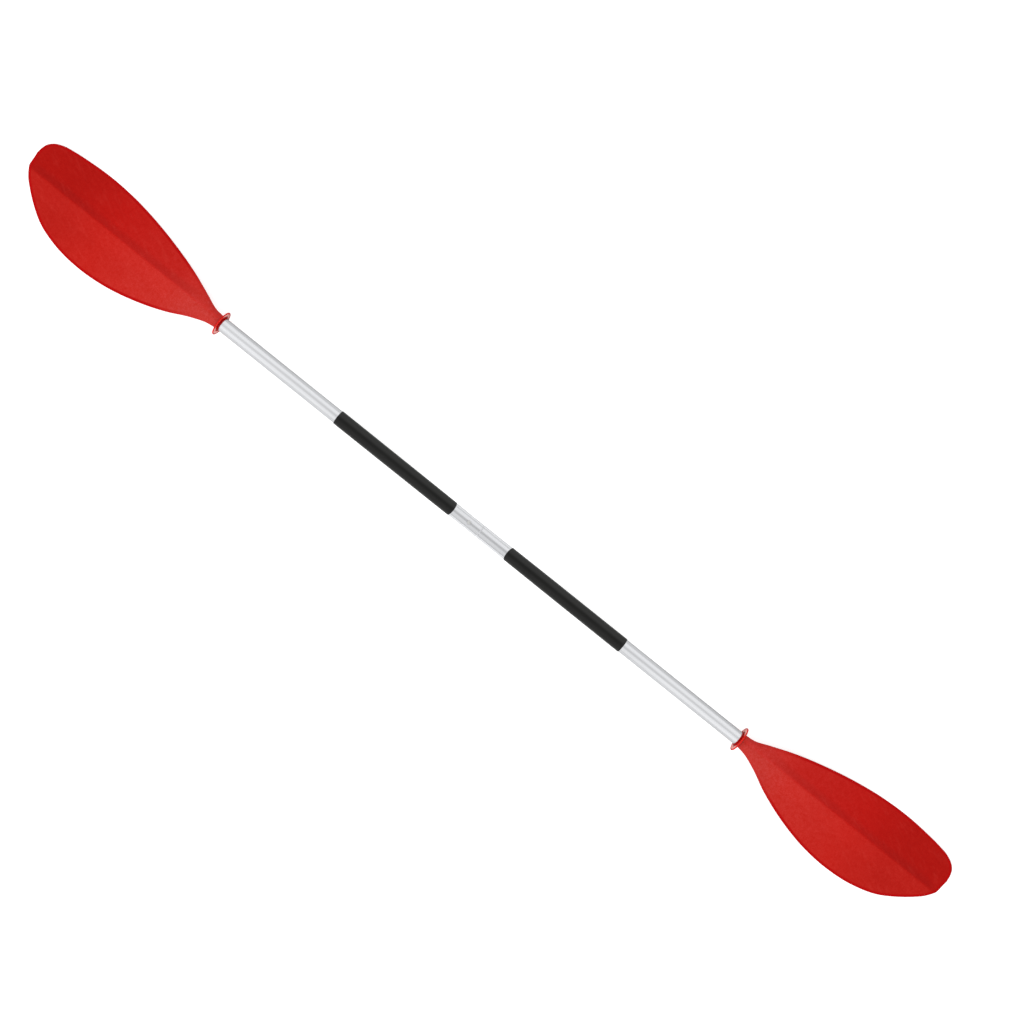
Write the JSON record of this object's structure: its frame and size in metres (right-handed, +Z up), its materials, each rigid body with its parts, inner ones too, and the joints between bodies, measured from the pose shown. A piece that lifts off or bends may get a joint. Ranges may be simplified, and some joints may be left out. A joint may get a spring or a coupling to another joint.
{
  "type": "kayak paddle",
  "caption": "Take-apart double-bladed kayak paddle with spooned dihedral blades, tubular shaft, sleeve grips, drip rings and a snap-button ferrule.",
  "frame": {"origin": "on the surface the paddle lies on, straight under the middle of the shaft", "axes": "+X along the shaft, from the half whose tube takes the ferrule (left) to the half that carries it (right); +Y across the blades, towards their longer edges; +Z up, out of the power faces"},
  "size_m": [2.2, 0.1748, 0.0521],
  "materials": {
    "blade": "red injection-moulded plastic, satin with fine flow lines",
    "tube": "clear anodised drawn tube, satin",
    "grip": "matt black sleeve",
    "drip_ring": "soft red vinyl, glossy",
    "steel": "stainless, satin",
    "foam": "closed-cell foam",
    "seal": "pale grey silicone, matt"
  },
  "bodies": {
    "left_half": {"left_shaft_tube": "tube", "left_blade": "blade", "left_grip": "grip", "left_blade_rivet_inner": "steel", "left_blade_rivet_outer": "steel", "left_float_plug": "foam"},
    "left_drip_ring": {"left_drip_ring": "drip_ring"},
    "joint_seal": {"joint_seal_ring": "seal"},
    "right_half": {"right_shaft_tube": "tube", "right_blade": "blade", "right_grip": "grip", "right_blade_rivet_inner": "steel", "right_blade_rivet_outer": "steel", "right_float_plug": "foam", "ferrule": "tube", "ferrule_rivet_inner": "steel", "ferrule_rivet_outer": "steel", "button_spring": "steel"},
    "snap_button": {"snap_button": "steel"},
    "right_drip_ring": {"right_drip_ring": "drip_ring"}
  },
  "joints": [
    {"name": "pull_apart", "type": "slide", "parent": "left_half", "child": "joint_seal", "axis": [1, 0, 0], "range_m": [0, 0.12], "deforming": ["snap_button"]},
    {"name": "feather", "type": "hinge", "parent": "joint_seal", "child": "right_half", "pos_m": [0, 0, 0.0263], "axis": [1, 0, 0], "range_deg": [-90, 90], "deforming": ["snap_button"]},
    {"name": "button_press", "type": "slide", "parent": "right_half", "child": "snap_button", "axis": [0, 0, -1], "range_m": [0, 0.0046], "stiffness_N_per_m": 900, "springref_m": -0.004, "deforming": ["button_spring"]},
    {"name": "left_ring_slide", "type": "slide", "parent": "left_half", "child": "left_drip_ring", "axis": [1, 0, 0], "range_m": [0, 0.27]},
    {"name": "right_ring_slide", "type": "slide", "parent": "right_half", "child": "right_drip_ring", "axis": [-1, 0, 0], "range_m": [0, 0.27]}
  ]
}
